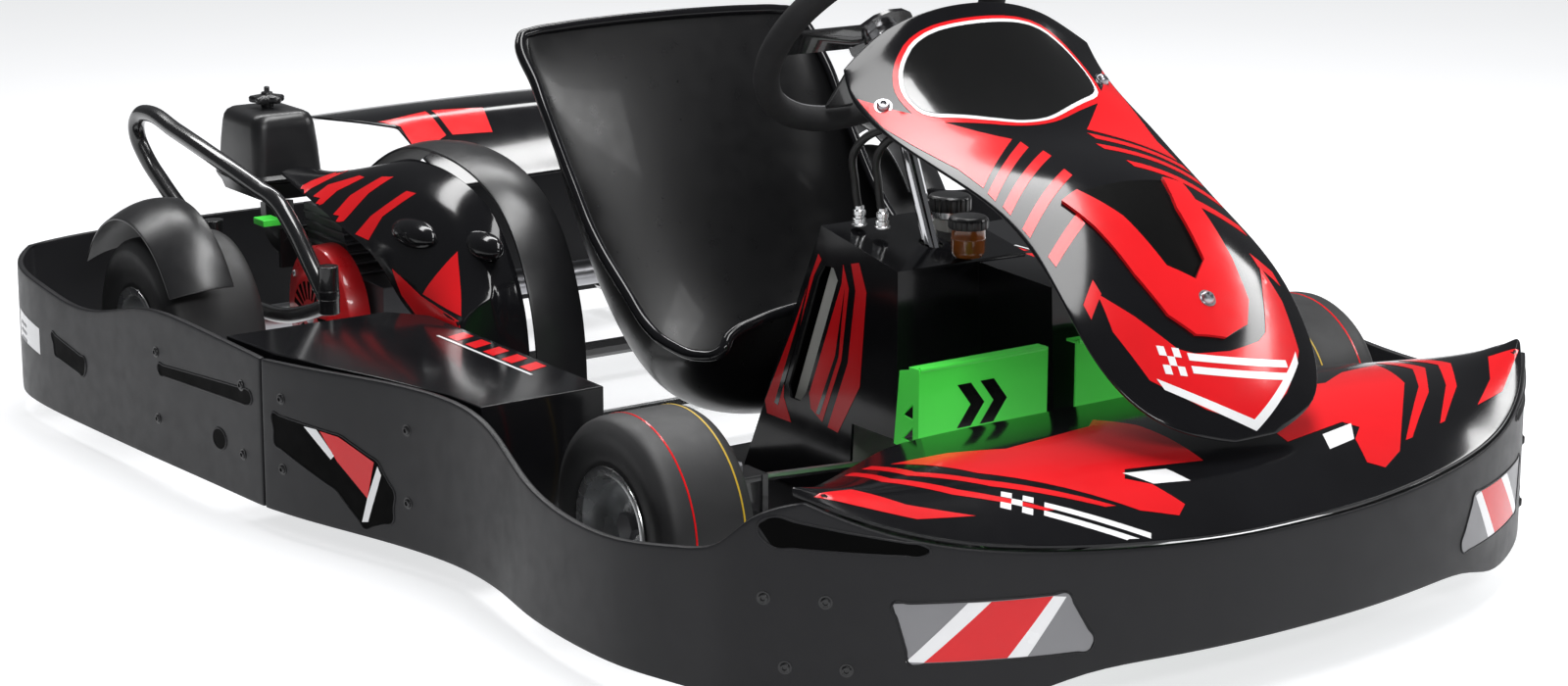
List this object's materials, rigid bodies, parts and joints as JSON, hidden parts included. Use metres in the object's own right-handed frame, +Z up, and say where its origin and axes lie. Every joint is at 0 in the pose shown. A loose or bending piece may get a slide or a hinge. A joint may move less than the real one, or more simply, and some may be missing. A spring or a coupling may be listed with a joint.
{
  "type": "rental kart",
  "caption": "Complete rental kart: tube chassis, wrap-around bumper, bodywork, bucket seat, side engine, chain-driven live rear axle, steered front wheels and pedals.",
  "frame": {"origin": "middle of the kart's outline on the ground", "axes": "+Z up, +Y to the rear, +X to the driver's left"},
  "size_m": [1.52, 1.9524, 0.7545],
  "materials": {
    "coated_steel": "gloss black powder coat",
    "gloss_black": "polished black bodywork with red and white graphics",
    "bumper_black": "matt moulded plastic",
    "black_plastic": "satin moulded plastic",
    "pedal_green": "gloss green paint",
    "engine_red": "gloss red",
    "steel": "machined steel",
    "chrome": "polished",
    "aluminium": "polished aluminium",
    "cast": "rough casting",
    "tyre_rubber": "slick kart tyre",
    "hose_rubber": "smooth hose",
    "grip_suede": "suede wrap",
    "tank_white": "translucent white moulding",
    "fluid_amber": "tinted clear plastic with fluid"
  },
  "bodies": {
    "chassis": {"frame_rail_right": "coated_steel", "frame_rail_left": "coated_steel", "seat_crossmember": "aluminium", "rear_crossmember": "coated_steel", "front_hoop": "coated_steel", "side_bar_right": "coated_steel", "side_bar_left": "coated_steel", "floor_tray": "black_plastic", "front_crossmember": "coated_steel", "bumper_front": "bumper_black", "bumper_rear": "bumper_black", "nose_panel": "gloss_black", "front_fairing": "gloss_black", "tank_cover": "gloss_black", "fuel_tank": "tank_white", "fluid_reservoir": "fluid_amber", "fuel_hoses": "hose_rubber", "axle_carrier_right": "aluminium", "axle_carrier_left": "aluminium", "drive_chain": "steel", "brake_caliper": "aluminium", "engine_block": "cast", "engine_shroud": "engine_red", "air_filter_box": "black_plastic", "carburettor": "black_plastic", "fuel_lever": "pedal_green", "muffler": "coated_steel", "engine_guard": "coated_steel", "seat_guard": "black_plastic", "engine_cover": "gloss_black", "rear_cover": "gloss_black", "rear_mudguard_right": "black_plastic", "rear_mudguard_left": "black_plastic", "side_pod_right": "gloss_black", "side_pod_left": "gloss_black"},
    "steering": {"steering_column": "chrome", "steering_wheel_rim": "grip_suede", "steering_wheel_plate": "coated_steel"},
    "knuckle_right": {"spindle_right": "cast"},
    "knuckle_left": {"spindle_left": "cast"},
    "track_rod_right": {"tie_rod_right": "steel"},
    "track_rod_left": {"tie_rod_left": "steel"},
    "front_wheel_right": {"front_tyre_right": "tyre_rubber", "front_rim_right": "aluminium"},
    "front_wheel_left": {"front_tyre_left": "tyre_rubber", "front_rim_left": "aluminium"},
    "rear_axle_set": {"rear_axle": "steel", "rear_rim_right": "aluminium", "rear_rim_left": "aluminium", "rear_tyre_right": "tyre_rubber", "rear_tyre_left": "tyre_rubber", "axle_sprocket": "steel", "brake_disc": "steel"},
    "clutch": {"clutch_sprocket": "steel"},
    "throttle": {"throttle_pedal": "pedal_green"},
    "brake": {"brake_pedal": "pedal_green"},
    "seat": {"seat_shell": "gloss_black"},
    "fuel_cap": {"tank_cap": "black_plastic"},
    "reservoir_lid": {"reservoir_cap": "black_plastic"},
    "filter_knob": {"air_filter_knob": "black_plastic"}
  },
  "joints": [
    {"name": "steering_turn", "type": "hinge", "parent": "chassis", "child": "steering", "pos_m": [0, -0.195, 0.618], "axis": [0, 0.3939, 0.9191], "range_deg": [-50, 50]},
    {"name": "kingpin_right", "type": "hinge", "parent": "chassis", "child": "knuckle_right", "pos_m": [-0.385, -0.429, 0.129], "axis": [0, 0, 1], "range_deg": [-20, 20]},
    {"name": "track_rod_pin_right", "type": "hinge", "parent": "steering", "child": "track_rod_right", "pos_m": [-0.014, -0.371, 0.1059], "axis": [0, 0.3939, 0.9191], "range_deg": [-50, 50]},
    {"name": "front_wheel_spin_right", "type": "hinge", "parent": "knuckle_right", "child": "front_wheel_right", "pos_m": [-0.493, -0.429, 0.129], "axis": [1, 0, 0], "continuous": true},
    {"name": "kingpin_left", "type": "hinge", "parent": "chassis", "child": "knuckle_left", "pos_m": [0.385, -0.429, 0.129], "axis": [0, 0, 1], "range_deg": [-20, 20]},
    {"name": "track_rod_pin_left", "type": "hinge", "parent": "steering", "child": "track_rod_left", "pos_m": [0.014, -0.371, 0.1059], "axis": [0, 0.3939, 0.9191], "range_deg": [-50, 50]},
    {"name": "front_wheel_spin_left", "type": "hinge", "parent": "knuckle_left", "child": "front_wheel_left", "pos_m": [0.493, -0.429, 0.129], "axis": [1, 0, 0], "continuous": true},
    {"name": "rear_axle_spin", "type": "hinge", "parent": "chassis", "child": "rear_axle_set", "pos_m": [0, 0.669, 0.141], "axis": [1, 0, 0], "continuous": true},
    {"name": "clutch_spin", "type": "hinge", "parent": "chassis", "child": "clutch", "pos_m": [-0.25, 0.492, 0.15], "axis": [1, 0, 0], "continuous": true},
    {"name": "throttle_press", "type": "hinge", "parent": "chassis", "child": "throttle", "pos_m": [0, -0.545, 0.072], "axis": [1, 0, 0], "range_deg": [0, 12], "stiffness_Nm_per_rad": 10, "springref_deg": -8.59},
    {"name": "brake_press", "type": "hinge", "parent": "chassis", "child": "brake", "pos_m": [0, -0.545, 0.072], "axis": [1, 0, 0], "range_deg": [0, 12], "stiffness_Nm_per_rad": 10, "springref_deg": -8.59},
    {"name": "seat_slide", "type": "slide", "parent": "chassis", "child": "seat", "axis": [0, 1, 0], "range_m": [-0.015, 0.06]},
    {"name": "fuel_cap_turn", "type": "hinge", "parent": "chassis", "child": "fuel_cap", "pos_m": [0.06, -0.262, 0.403], "axis": [0, 0, 1], "range_deg": [0, 120]},
    {"name": "reservoir_lid_turn", "type": "hinge", "parent": "chassis", "child": "reservoir_lid", "pos_m": [0.008, -0.366, 0.406], "axis": [0, 0, 1], "range_deg": [0, 120]},
    {"name": "filter_knob_turn", "type": "hinge", "parent": "chassis", "child": "filter_knob", "pos_m": [-0.393, 0.778, 0.445], "axis": [0, 0, 1], "continuous": true}
  ],
  "couplings": [
    {"joint": "kingpin_right", "follows": "steering_turn", "ratio": 0.4},
    {"joint": "track_rod_pin_right", "follows": "steering_turn", "ratio": -1},
    {"joint": "kingpin_left", "follows": "steering_turn", "ratio": 0.4},
    {"joint": "track_rod_pin_left", "follows": "steering_turn", "ratio": -1},
    {"joint": "clutch_spin", "follows": "rear_axle_spin", "ratio": 2.625}
  ]
}
